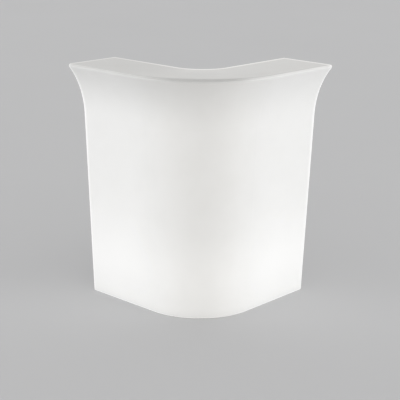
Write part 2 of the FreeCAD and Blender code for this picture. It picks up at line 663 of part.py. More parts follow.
def link_cable():
    """Cable from lamp to lamp: down from each holder, along the cavity's floor and round the corner."""
    height = FLOOR_TOP + CABLE_RADIUS
    top = SHELF_TOP + HOLDER_ENTRY_DEPTH
    half_turn_share = math.sqrt(0.5)
    drop = Vector(HATCH_ALONG, LAMP_Y, height + CABLE_BEND)
    foot = Vector(HATCH_ALONG - CABLE_BEND, LAMP_Y, height)
    slack = CABLE_BEND - CABLE_BEND * half_turn_share
    bend = Vector(HATCH_ALONG - slack, LAMP_Y, height + slack)
    start = Vector(CORNER_RADIUS, LAMP_Y, height)
    reach = CORNER_RADIUS - (CORNER_RADIUS - LAMP_Y) * half_turn_share
    middle = Vector(reach, reach, height)

    def twin(point):
        return Vector(point.y, point.x, point.z)

    upper = lamp_axis(top)
    runs = [
        Part.LineSegment(upper, drop),
        Part.Arc(drop, bend, foot),
        Part.LineSegment(foot, start),
        Part.Arc(start, middle, twin(start)),
        Part.LineSegment(twin(start), twin(foot)),
        Part.Arc(twin(foot), twin(bend), twin(drop)),
        Part.LineSegment(twin(drop), twin(upper)),
    ]
    path = Part.Wire([r.toShape() for r in runs])
    circle = Part.Wire(Part.Circle(upper, UP * -1, CABLE_RADIUS).toShape())
    return path.makePipeShell([circle], True, False)


def cable_clip():
    """One saddle over the cable, standing on the cavity's floor, on the right wing."""
    tall = 2 * CABLE_RADIUS + CLIP_COVER
    along = (HATCH_ALONG - CABLE_BEND + CORNER_RADIUS) / 2
    centre = (along, FLOOR_TOP + tall / 2)
    saddle = block(centre, LAMP_Y - CLIP_SPAN / 2, (CLIP_LENGTH, CLIP_SPAN, tall))
    start = Vector(along - CLIP_LENGTH / 2 - OVERRUN, LAMP_Y, FLOOR_TOP + CABLE_RADIUS)
    return saddle.cut(rod(CABLE_RADIUS + RUN_FIT, CLIP_LENGTH + 2 * OVERRUN, start, ALONG))


def corner_clip():
    """One saddle on the cable's bend, on the right of the middle plane."""
    radius = CORNER_RADIUS - LAMP_Y
    tall = 2 * CABLE_RADIUS + CLIP_COVER
    size = (CLIP_LENGTH, CLIP_SPAN, tall)
    saddle = block((CORNER_RADIUS, FLOOR_TOP + tall / 2), LAMP_Y - CLIP_SPAN / 2, size)
    axis = Vector(CORNER_RADIUS, CORNER_RADIUS, FLOOR_TOP + CABLE_RADIUS)
    saddle = saddle.cut(Part.makeTorus(radius, CABLE_RADIUS + RUN_FIT, axis, UP))
    saddle.rotate(axis, UP, CORNER_CLIP_TURN - WING_TURN)
    return saddle


def cable_clips():
    """All the saddles, in the part's frame."""
    right = [to_part(cable_clip()), to_part(corner_clip())]
    return group(right + [mirrored(c) for c in right])


def terminal_block():
    """Connector block on the right shelf, behind the lamp holder."""
    near = LAMP_Y + HOLDER_FLANGE_RADIUS + BLOCK_GAP
    size = (BLOCK_LENGTH, BLOCK_WIDTH, BLOCK_HEIGHT)
    body = block((HATCH_ALONG, SHELF_TOP + BLOCK_HEIGHT / 2), near, size)
    cuts = []
    for k in range(BLOCK_POLES):
        x = HATCH_ALONG + (k - (BLOCK_POLES - 1) / 2) * BLOCK_LENGTH / BLOCK_POLES
        wire = Vector(x, near, SHELF_TOP + WIRE_HOLE_HEIGHT)
        cuts.append(rod(WIRE_HOLE_RADIUS, BLOCK_WIDTH + 2 * OVERRUN, wire - OUT * OVERRUN, OUT))
        for row_share in POLE_ROW_SHARES:
            cuts.append(rod(POLE_SCREW_RADIUS, BLOCK_HEIGHT, wire + OUT * row_share * BLOCK_WIDTH))
    return body.cut(cuts)


def gland_axis(y):
    """A point on the gland's axis, in the wing's frame."""
    return Vector(GLAND_ALONG, y, CONTROL_HEIGHT)


def gland_body():
    """Gland's body: a hexagon on the cover, a thread through it and a neck for the dome nut."""
    tail = COVER_INSIDE - LOCK_NUT_HEIGHT - GLAND_TAIL
    shoulder = BASE_DEPTH + GLAND_HEX_HEIGHT
    thread = rod(GLAND_THREAD_RADIUS, BASE_DEPTH - tail, gland_axis(tail), OUT)
    hexagon = hex_bar(GLAND_FLATS, GLAND_HEX_HEIGHT, gland_axis(BASE_DEPTH), OUT)
    neck = rod(GLAND_NECK_RADIUS, GLAND_NECK_LENGTH, gland_axis(shoulder), OUT)
    bore = rod(GLAND_BORE_RADIUS, shoulder + GLAND_NECK_LENGTH - tail, gland_axis(tail), OUT)
    return thread.fuse([hexagon, neck]).removeSplitter().cut(bore)


def gland_lock_nut():
    """Thin nut on the gland's thread, inside the cover."""
    base = gland_axis(COVER_INSIDE - LOCK_NUT_HEIGHT)
    bore = rod(GLAND_THREAD_RADIUS + RUN_FIT, LOCK_NUT_HEIGHT, base, OUT)
    return hex_bar(GLAND_FLATS, LOCK_NUT_HEIGHT, base, OUT).cut(bore)


def gland_seal():
    """Sealing ring in the gland's neck, with the bore that a lead passes."""
    base = BASE_DEPTH + GLAND_HEX_HEIGHT + GLAND_NECK_LENGTH + SEAL_STAND - SEAL_LENGTH
    return ring(GLAND_BORE_RADIUS - RUN_FIT, SEAL_BORE_RADIUS, SEAL_LENGTH, gland_axis(base), OUT)


def gland_dome_nut():
    """Round-nosed nut that closes the gland."""
    base = BASE_DEPTH + GLAND_HEX_HEIGHT + DOME_GAP
    dome = rod(DOME_RADIUS, DOME_LENGTH, gland_axis(base), OUT)
    rim = max((e for e in dome.Edges if e.Closed), key=lambda e: e.CenterOfMass.y)
    dome = dome.makeFillet(DOME_ROUND, [rim])
    room = rod(GLAND_NECK_RADIUS + RUN_FIT, DOME_LENGTH - DOME_MOUTH_LENGTH, gland_axis(base), OUT)
    mouth = rod(DOME_MOUTH_RADIUS, DOME_LENGTH + OVERRUN, gland_axis(base), OUT)
    return dome.cut([room, mouth])


def housing_size():
    """Width and height of the switch's housing behind its bezel."""
    return BEZEL_WIDTH - 2 * HOUSING_MARGIN, BEZEL_HEIGHT - 2 * HOUSING_MARGIN


def rocker_axis(width):
    """Start of a span of that width along the rocker's pivot, centred on the switch."""
    return Vector(SWITCH_ALONG - width / 2, PIVOT_Y, CONTROL_HEIGHT)


def switch_housing():
    """Switch's bezel and housing, with a round well for the rocker and two pivot holes."""
    centre = (SWITCH_ALONG, CONTROL_HEIGHT)
    bezel = block(centre, BASE_DEPTH, (BEZEL_WIDTH, BEZEL_THICKNESS, BEZEL_HEIGHT))
    bezel = bezel.makeFillet(BEZEL_ROUND, edges_along(bezel, OUT))
    width, height = housing_size()
    housing = block(centre, BASE_DEPTH - HOUSING_DEPTH, (width, HOUSING_DEPTH, height))
    well_width = ROCKER_WIDTH + 2 * ROCKER_GAP
    well = rod(ROCKER_RADIUS + ROCKER_GAP, well_width, rocker_axis(well_width), ALONG)
    pin_width = well_width + 2 * ROCKER_PIN_REACH
    holes = rod(ROCKER_PIN_RADIUS + RUN_FIT, pin_width, rocker_axis(pin_width), ALONG)
    return bezel.fuse(housing).removeSplitter().cut([well, holes])


def switch_rocker():
    """Rocker with a shallow hollow face, tipped to its lit side."""
    disc = rod(ROCKER_RADIUS, ROCKER_WIDTH, rocker_axis(ROCKER_WIDTH), ALONG)
    face = PIVOT_Y + ROCKER_RISE
    rise = 2 * ROCKER_RADIUS * math.tan(math.radians(ROCKER_ANGLE))
    left = SWITCH_ALONG - ROCKER_WIDTH / 2 - OVERRUN
    outline = [
        Vector(left, face, CONTROL_HEIGHT),
        Vector(left, face + rise, CONTROL_HEIGHT + 2 * ROCKER_RADIUS),
        Vector(left, face + rise + ROCKER_RADIUS, CONTROL_HEIGHT),
        Vector(left, face + rise, CONTROL_HEIGHT - 2 * ROCKER_RADIUS),
        Vector(left, face, CONTROL_HEIGHT),
    ]
    above = Part.Face(Part.makePolygon(outline)).extrude(ALONG * (ROCKER_WIDTH + 2 * OVERRUN))
    pin_width = ROCKER_WIDTH + 2 * ROCKER_PIN_REACH
    pin = rod(ROCKER_PIN_RADIUS, pin_width, rocker_axis(pin_width), ALONG)
    rocker = disc.cut(above).fuse(pin).removeSplitter()
    rocker.rotate(rocker_axis(0), ALONG, ROCKER_ANGLE)
    return rocker


def switch_blades():
    """The switch's two contact blades, behind its housing."""
    near = BASE_DEPTH - HOUSING_DEPTH - BLADE_LENGTH
    size = (BLADE_WIDTH, BLADE_LENGTH, BLADE_THICKNESS)
    heights = [CONTROL_HEIGHT + side * BLADE_SPREAD for side in (-1, 1)]
    return group([block((SWITCH_ALONG, height), near, size) for height in heights])


def paired_nodes():
    """The pieces that both wings have, in the wing's frame."""
    return {
        "hatch_gasket": hatch_gasket(),
        "hatch_screws": group([hatch_screw(x, z) for x, z in hatch_screw_places()]),
        "hatch_inserts": group([hatch_insert(x, z) for x, z in hatch_screw_places()]),
        "lamp_bracket": lamp_bracket(),
        "lamp_fixings": lamp_fixings(),
        "lamp_holder": lamp_holder(),
        "shelf_grommet": shelf_grommet(),
        "bulb_cap": bulb_cap(),
        "bulb_body": bulb_body(),
        "bulb_globe": bulb_globe(),
        "led_board": led_board(),
    }


def right_nodes():
    """The pieces that only the right wing has, in the wing's frame."""
    return {
        "terminal_block": terminal_block(),
        "gland_body": gland_body(),
        "gland_lock_nut": gland_lock_nut(),
        "gland_seal": gland_seal(),
        "gland_dome_nut": gland_dome_nut(),
        "switch_housing": switch_housing(),
        "switch_rocker": switch_rocker(),
        "switch_blades": switch_blades(),
    }


def all_nodes():
    """Every node's shape, in the part's frame."""
    places = foot_places()
    nodes = {
        "counter_shell": counter_shell(),
        "foot_inserts": group([foot_insert(p) for p in places.values()]),
        "link_cable": to_part(link_cable()),
        "cable_clips": cable_clips(),
        "hatch_cover_right": to_part(control_cover()),
        "hatch_cover_left": mirrored(to_part(hatch_cover())),
    }
    for name, place in places.items():
        nodes["foot_pad_" + name] = foot_pad(place)
        nodes["foot_stud_" + name] = foot_stud(place)
    for name, shape in paired_nodes().items():
        nodes[name + "_right"] = to_part(shape)
        nodes[name + "_left"] = mirrored(to_part(shape))
    for name, shape in right_nodes().items():
        nodes[name] = to_part(shape)
    return nodes


def main():
    """Builds every node and writes its file."""
    os.makedirs("parts", exist_ok=True)
    for name, shape in all_nodes().items():
        shape.exportStep("parts/" + name + ".step")
        print(name, len(shape.Solids), shape.isValid(), round(shape.Volume), shape.BoundBox)


main()
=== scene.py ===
"""Looks of the illuminated corner bar counter.

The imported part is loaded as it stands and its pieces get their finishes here. The treaded feet, the
threaded studs and bulb caps, the ribbed gland nut, the switch's marks and the mould's parting bead are
modelled, and a plain studio is set round the counter.
"""

from __future__ import annotations

import functools
import json
import logging
import math
from collections.abc import Callable, Sequence
from dataclasses import dataclass
from enum import Enum

import bpy
from mathutils import Matrix, Quaternion, Vector

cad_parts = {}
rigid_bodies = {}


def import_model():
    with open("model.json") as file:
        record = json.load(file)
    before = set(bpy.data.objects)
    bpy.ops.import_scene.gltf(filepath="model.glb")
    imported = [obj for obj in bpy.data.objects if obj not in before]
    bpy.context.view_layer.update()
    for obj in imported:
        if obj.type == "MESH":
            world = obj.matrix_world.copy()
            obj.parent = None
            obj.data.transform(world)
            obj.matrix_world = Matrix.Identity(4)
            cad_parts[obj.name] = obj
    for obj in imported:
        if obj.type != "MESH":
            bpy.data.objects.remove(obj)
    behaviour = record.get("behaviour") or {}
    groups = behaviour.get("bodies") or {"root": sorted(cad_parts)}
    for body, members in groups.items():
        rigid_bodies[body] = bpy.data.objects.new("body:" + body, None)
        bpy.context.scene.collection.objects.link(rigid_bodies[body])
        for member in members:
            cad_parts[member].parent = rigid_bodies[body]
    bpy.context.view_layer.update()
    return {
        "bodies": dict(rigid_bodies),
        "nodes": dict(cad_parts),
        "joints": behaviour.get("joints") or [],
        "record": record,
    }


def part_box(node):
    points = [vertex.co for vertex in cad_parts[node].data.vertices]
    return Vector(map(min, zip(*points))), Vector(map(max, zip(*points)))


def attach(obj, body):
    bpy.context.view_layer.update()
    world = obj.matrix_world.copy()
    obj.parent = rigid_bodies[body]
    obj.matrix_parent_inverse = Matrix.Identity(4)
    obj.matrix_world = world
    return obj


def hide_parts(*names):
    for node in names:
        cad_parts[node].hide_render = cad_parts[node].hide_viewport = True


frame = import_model()
LOG = logging.getLogger("corner_counter")
MM = 0.001
SMOOTH_LIMIT = math.radians(32)
QUARTER_TURN = math.pi / 2
HALF_BEND = math.pi / 4  # turn of the corner from the middle plane to a wing
DIAGONAL = math.sqrt(0.5)  # share of a wing's run that goes along X, and along Y
VALUE = "NodeSocketFloat"
WALL_TONE = (0.60, 0.595, 0.58)
WALL_SHADE = (0.585, 0.579, 0.563)

Colour = tuple[float, float, float]
Limits = tuple[float, float]
Radius = Callable[[float], float]
Ring = tuple[float, Radius]
Socket = bpy.types.NodeSocket
Sockets = dict[str, Socket]


class Surface(Enum):
    """The kinds of surface that a finish can be."""

    MOULDED = "moulded"
    METAL = "metal"
    RUBBER = "rubber"


@dataclass(frozen=True)
class Finish:
    """One finish: its two tones, its grain and how it takes the light."""

    slot: str
    surface: Surface
    tone: Colour
    shade: Colour
    roughness: float
    rough_spread: float
    grain_mm: float  # size of the grain
    relief_mm: float  # height of the grain
    coat: float = 0.0
    glow: float = 0.0  # level of the light that comes through the wall
    lamp: float = 0.0  # extra light through the wall beside a lamp
    emission: Colour | None = None  # plain light of its own


MOULDED, METAL, RUBBER = Surface
FINISHES = (
    # slot, surface, tone, shade, roughness and its spread, size and height of the grain in mm
    Finish("shell_plastic", MOULDED, WALL_TONE, WALL_SHADE, 0.42, 0.06, 1.1, 0.05, glow=0.348, lamp=0.05),
    Finish("cover_plastic", MOULDED, WALL_TONE, WALL_SHADE, 0.46, 0.06, 0.9, 0.05, glow=0.25, lamp=0.05),
    Finish("foot_rubber", RUBBER, (0.030, 0.030, 0.031), (0.060, 0.059, 0.057), 0.78, 0.10, 0.7, 0.04),
    Finish("seal_rubber", RUBBER, (0.036, 0.036, 0.037), (0.065, 0.064, 0.062), 0.70, 0.10, 0.6, 0.03),
    Finish("stud_steel", METAL, (0.60, 0.60, 0.585), (0.42, 0.415, 0.40), 0.34, 0.12, 1.6, 0.02),
    Finish("screw_steel", METAL, (0.66, 0.66, 0.65), (0.50, 0.50, 0.49), 0.26, 0.10, 1.2, 0.01),
    Finish("insert_brass", METAL, (0.74, 0.55, 0.26), (0.52, 0.37, 0.16), 0.32, 0.10, 1.2, 0.02),
    Finish("cap_metal", METAL, (0.72, 0.71, 0.67), (0.52, 0.51, 0.47), 0.22, 0.10, 1.4, 0.01),
    Finish("bracket_steel", MOULDED, (0.80, 0.80, 0.79), (0.72, 0.72, 0.71), 0.50, 0.08, 0.8, 0.06),
    Finish("holder_white", MOULDED, (0.82, 0.81, 0.77), (0.74, 0.73, 0.69), 0.22, 0.06, 3.0, 0.03, coat=0.5),
    Finish("bulb_white", MOULDED, (0.84, 0.84, 0.83), (0.77, 0.77, 0.76), 0.28, 0.06, 1.5, 0.02),
    Finish("globe_opal", MOULDED, (0.86, 0.85, 0.81), (0.80, 0.79, 0.75), 0.35, 0.05, 1.5, 0.01,
           emission=(0.90, 0.87, 0.78)),
    Finish("board_white", MOULDED, (0.82, 0.82, 0.80), (0.73, 0.73, 0.71), 0.40, 0.08, 1.0, 0.01),
    Finish("cable_white", MOULDED, (0.72, 0.72, 0.69), (0.64, 0.64, 0.61), 0.48, 0.08, 1.2, 0.02),
    Finish("clip_plastic", MOULDED, (0.68, 0.68, 0.65), (0.60, 0.60, 0.57), 0.45, 0.08, 1.0, 0.03),
    Finish("gland_grey", MOULDED, (0.42, 0.43, 0.435), (0.35, 0.36, 0.365), 0.44, 0.08, 0.7, 0.03),
    Finish("switch_black", MOULDED, (0.020, 0.020, 0.021), (0.034, 0.034, 0.034), 0.40, 0.10, 0.6, 0.03),
)


def mount(name: str) -> dict:
    """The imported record's mount of that name."""
    return next(m for m in frame["record"]["mounts"] if m["name"] == name)


def joint(name: str) -> dict:
    """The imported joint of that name."""
    return next(j for j in frame["joints"] if j["name"] == name)


def standing_place(node: str) -> Matrix:
    """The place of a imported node's upright axis, at its lower end."""
    low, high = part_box(node)
    return Matrix.Translation(((low.x + high.x) / 2, (low.y + high.y) / 2, low.z))


@dataclass(frozen=True)
class CounterPlan:
    """Driving sizes of the counter's body, in metres, and the places that follow from them."""

    height: float = 1.100
    wing_length: float = 0.699
    base_depth: float = 0.151
    corner_radius: float = 0.294
    edge_round: float = 0.009
    end_round: float = 0.00792
    skirt_gap: float = 0.004
    flare_height: float = 0.235

    @property
    def apex_y(self) -> float:
        """Y of the sharp base corner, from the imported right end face."""
        end = mount("right_end_face")["pos_m"]
        return end[1] - (self.wing_length + self.base_depth / 2) * DIAGONAL

    @property
    def centre_y(self) -> float:
        """Y of the upright axis that the corner turns about."""
        return self.apex_y + self.corner_radius * math.sqrt(2)

    @property
    def flare_start(self) -> float:
        """Height where the flare begins."""
        return self.height - self.flare_height

    @property
    def end_along(self) -> float:
        """Run along the front from the middle to a wing's end face."""
        return self.corner_radius * (HALF_BEND - 1) + self.wing_length

    @property
    def back_radius(self) -> float:
        """Radius of the corner's hollow side."""
        return self.corner_radius - self.base_depth

    @property
    def back_bend(self) -> float:
        """Run of the back wall from the middle plane to where it turns straight."""
        return self.back_radius * HALF_BEND

    @property
    def back_half(self) -> float:
        """Run of the back wall from the middle plane to the rounded end edge."""
        return self.back_bend + self.wing_length - self.end_round - self.corner_radius

    def back_turn(self, along: float) -> float:
        """How far the back wall has turned at a signed run from the middle plane."""
        return min(abs(along) / self.back_radius, HALF_BEND)

    def back_point(self, along: float, height: float) -> Vector:
        """A point on the back wall.

        Args:
            along: Signed run along the wall from the middle plane, right positive.
            height: Height over the floor.

        Returns:
            The point in the part's frame.
        """
        turn = self.back_turn(along)
        past = max(abs(along) - self.back_bend, 0.0) * DIAGONAL
        x = self.back_radius * math.sin(turn) + past
        y = self.centre_y - self.back_radius * math.cos(turn) + past
        return Vector((math.copysign(x, along), y, height))

    def back_normal(self, along: float) -> Vector:
        """The back wall's level outward direction at a signed run from the middle plane."""
        turn = self.back_turn(along)
        return Vector((-math.copysign(math.sin(turn), along), math.cos(turn), 0.0))


class Sketch:
    """Places and links the nodes of one node tree in a few words."""

    def __init__(self, tree: bpy.types.NodeTree) -> None:
        """Takes the tree that the nodes go into."""
        self.tree = tree

    def feed(self, socket: Socket, value: object) -> None:
        """Links a socket to an input, or sets the input's own value.

        Args:
            socket: The input.
            value: An output socket, or a plain value.
        """
        if isinstance(value, Socket):
            self.tree.links.new(value, socket)
        else:
            socket.default_value = value

    def fill(self, node: bpy.types.Node, values: dict[str, object]) -> None:
        """Feeds a node's inputs by their names."""
        for name, value in values.items():
            self.feed(node.inputs[name], value)

    def node(self, kind: str, *values: object, **settings: object) -> bpy.types.Node:
        """Adds a node.

        Args:
            kind: Blender's name of the node.
            *values: What its first inputs take, in order.
            **settings: Properties to set on it.

        Returns:
            The new node.
        """
        made = self.tree.nodes.new(kind)
        for name, value in settings.items():
            setattr(made, name, value)
        for socket, value in zip(made.inputs, values):
            self.feed(socket, value)
        return made

    def math(self, operation: str, *values: object) -> Socket:
        """The result of a Math node with that operation."""
        return self.node("ShaderNodeMath", *values, operation=operation).outputs[0]

    def total(self, *terms: object) -> Socket:
        """The sum of several sockets or numbers."""
        return functools.reduce(functools.partial(self.math, "ADD"), terms)

    def product(self, *terms: object) -> Socket:
        """The product of several sockets or numbers."""
        return functools.reduce(functools.partial(self.math, "MULTIPLY"), terms)

    def most(self, *terms: object) -> Socket:
        """The largest of several sockets or numbers."""
        return functools.reduce(functools.partial(self.math, "MAXIMUM"), terms)

    def less(self, first: object, second: object) -> Socket:
        """The first socket or number less the second."""
        return self.math("SUBTRACT", first, second)

    def ramp(self, value: Socket, start: float, end: float, low: float = 0.0, high: float = 1.0) -> Socket:
        """A smooth step from low, where the value is at the start, to high, where it is at the end."""
        limits = (start, end, low, high)
        return self.node("ShaderNodeMapRange", value, *limits, interpolation_type="SMOOTHSTEP").outputs[0]

    def bell(self, value: Socket, width: float) -> Socket:
        """A bell curve of a value: 1 at zero, and 1/e at the width."""
        scaled = self.math("DIVIDE", value, width)
        return self.math("EXPONENT", self.product(scaled, scaled, -1.0))

    def noise(self, size: object, octaves: float, stretch: Colour = (1.0, 1.0, 1.0)) -> Socket:
        """Cloudy noise over the part.

        Args:
            size: Size of the clouds, in metres.
            octaves: How many finer layers it has.
            stretch: How much finer it is along each axis.

        Returns:
            The noise, from 0 to 1.
        """
        place = self.node("ShaderNodeVectorMath", self.place(), stretch, operation="MULTIPLY").outputs[0]
        made = self.node("ShaderNodeTexNoise")
        scale = self.math("DIVIDE", 1.0, size)
        self.fill(made, {"Vector": place, "Scale": scale, "Detail": octaves})
        return made.outputs["Fac"]

    def mix(self, factor: Socket, first: object, second: object) -> Socket:
        """Mixes two colours.

        Args:
            factor: Share of the second.
            first: First colour.
            second: Second colour.

        Returns:
            The mixed colour.
        """
        made = self.node("ShaderNodeMix", factor, data_type="RGBA")
        inputs = (socket for socket in made.inputs if socket.type == "RGBA")
        for socket, colour in zip(inputs, (first, second)):
            self.feed(socket, colour)
        return next(socket for socket in made.outputs if socket.type == "RGBA")

    def place(self) -> Socket:
        """The point's own place on the part, in metres."""
        return self.node("ShaderNodeTexCoord").outputs["Object"]

    def axes(self) -> Sequence[Socket]:
        """X, Y and Z of the point's own place."""
        return tuple(self.node("ShaderNodeSeparateXYZ", self.place()).outputs)


class Effect:
    """A shader node group that is built once and placed in each material that uses it."""

    name: str
    inputs: dict[str, float] = {}
    outputs: dict[str, str] = {}

    def tree(self) -> bpy.types.NodeTree:
        """The group's tree, built on first use.

        Returns:
            The node tree.
        """
        made = bpy.data.node_groups.get(self.name)
        if made is None:
            made = bpy.data.node_groups.new(self.name, "ShaderNodeTree")
            for name, default in self.inputs.items():
                socket = made.interface.new_socket(name, in_out="INPUT", socket_type=VALUE)
                socket.default_value = default
            for name, kind in self.outputs.items():
                made.interface.new_socket(name, in_out="OUTPUT", socket_type=kind)
            sketch = Sketch(made)
            given = sketch.node("NodeGroupInput").outputs
            results = self.draw(sketch, {name: given[name] for name in self.inputs})
            sketch.fill(sketch.node("NodeGroupOutput"), results)
        return made

    def put(self, sketch: Sketch, **values: float) -> Sockets:
        """Places the group in a tree.

        Args:
            sketch: The tree to place it in.
            **values: Values of the group's inputs.

        Returns:
            The group's outputs by name.
        """
        made = sketch.node("ShaderNodeGroup", node_tree=self.tree())
        sketch.fill(made, values)
        return {name: made.outputs[name] for name in self.outputs}

    def draw(self, sketch: Sketch, given: Sockets) -> Sockets:
        """Draws the group's nodes from its inputs, and gives what goes to each output."""
        raise NotImplementedError


@dataclass(frozen=True)
class WingPlace(Effect):
    """Where a point lies on the counter: along the front from the middle, out past the base, and up."""

    plan: CounterPlan
    name = "wing_place"
    outputs = dict.fromkeys(("Along", "Side", "Reach", "Height"), VALUE)

    def draw(self, sketch: Sketch, given: Sockets) -> Sockets:
        """Draws the group's nodes.

        Args:
            sketch: The group's tree.
            given: The group's inputs by name; not used, as the group has no inputs.

        Returns:
            The run along the front, that run with the left wing's below zero, the reach past the base line
            and the height.
        """
        radius = self.plan.corner_radius
        x, y, z = sketch.axes()
        aside = sketch.math("ABSOLUTE", x)
        depth = sketch.less(y, self.plan.apex_y)
        run = sketch.product(sketch.total(aside, depth), DIAGONAL)
        inward = sketch.product(sketch.less(depth, aside), DIAGONAL)
        short = sketch.most(sketch.less(radius, run), 0.0)
        across = sketch.less(radius, inward)
        squares = [sketch.product(value, value) for value in (short, across)]
        reach = sketch.less(sketch.math("SQRT", sketch.total(*squares)), radius)
        turn = sketch.less(HALF_BEND, sketch.math("ARCTAN2", short, across))
        straight = sketch.most(sketch.less(run, radius), 0.0)
        along = sketch.total(sketch.product(turn, radius), straight)
        side = sketch.product(sketch.math("SIGN", x), along)
        return {"Along": along, "Side": side, "Reach": reach, "Height": z}


@dataclass(frozen=True)
class GlowShape:
    """How the light from inside spreads, with painted highlights and painted shade: amounts are shares of
    full white, widths and heights metres.
    """

    lamp_width: float = 0.26
    low_gain: float = 0.055  # band of light at the lamps' height
    low_height: float = 0.19
    low_width: float = 0.17
    corner_loss: float = 0.172
    corner_width: float = 0.17
    flare_loss: float = 0.06
    skirt_loss: float = 0.045
    skirt_height: float = 0.05
    under_gain: float = 0.30  # light through the underside
    worktop_loss: float = 0.245
    worktop_corner_share: float = 0.4  # how much of the corner's loss the worktop has
    rear_corner_share: float = 0.4  # how much of it the hollow side of the corner has
    low_corner_share: float = 0.92  # how much of it is left at the lamps' height
    corner_flare_share: float = 0.1  # how much of the flare's loss the corner has
    edge_painted_highlight: float = 0.17  # painted highlight on the upright edges of the wings' ends
    edge_low_share: float = 0.3  # how much of it is left near the floor
    edge_width: float = 0.014
    rim_painted_highlight: float = 0.24  # painted highlight on the rim round the worktop's back and ends
    rim_width: float = 0.026
    lip_reach: float = 0.122  # where the rounded lip begins, out from the base line
    lip_drop: float = 0.004  # middle of the lip's line under the worktop
    lip_loss: float = 0.16  # loss along the lip of the wings
    lip_crease: float = 0.28  # painted shade: the same loss in the corner, which darkens the crease
    crease_width: float = 0.040  # strip of the worktop where shade is painted towards the corner's lip
    crease_painted_shade: float = 0.27  # how much darker the painted shade makes the base colour in that crease
    crease_start: float = 0.15  # level of the corner's bell where the crease's painted shade begins
    side_painted_light: float = 0.04  # painted light and shade: how much brighter the right wing's flare is, and dimmer the left one's
    side_width: float = 0.20
    worktop_side_painted_shade: float = 0.10  # painted shade: how far the worktop dims towards the left end
    cloud_share: float = 0.012
    cloud_size: float = 0.35
    cloud_octaves: float = 2.0
    warm: Colour = (1.0, 0.985, 0.955)
    cool: Colour = (0.985, 0.995, 1.0)


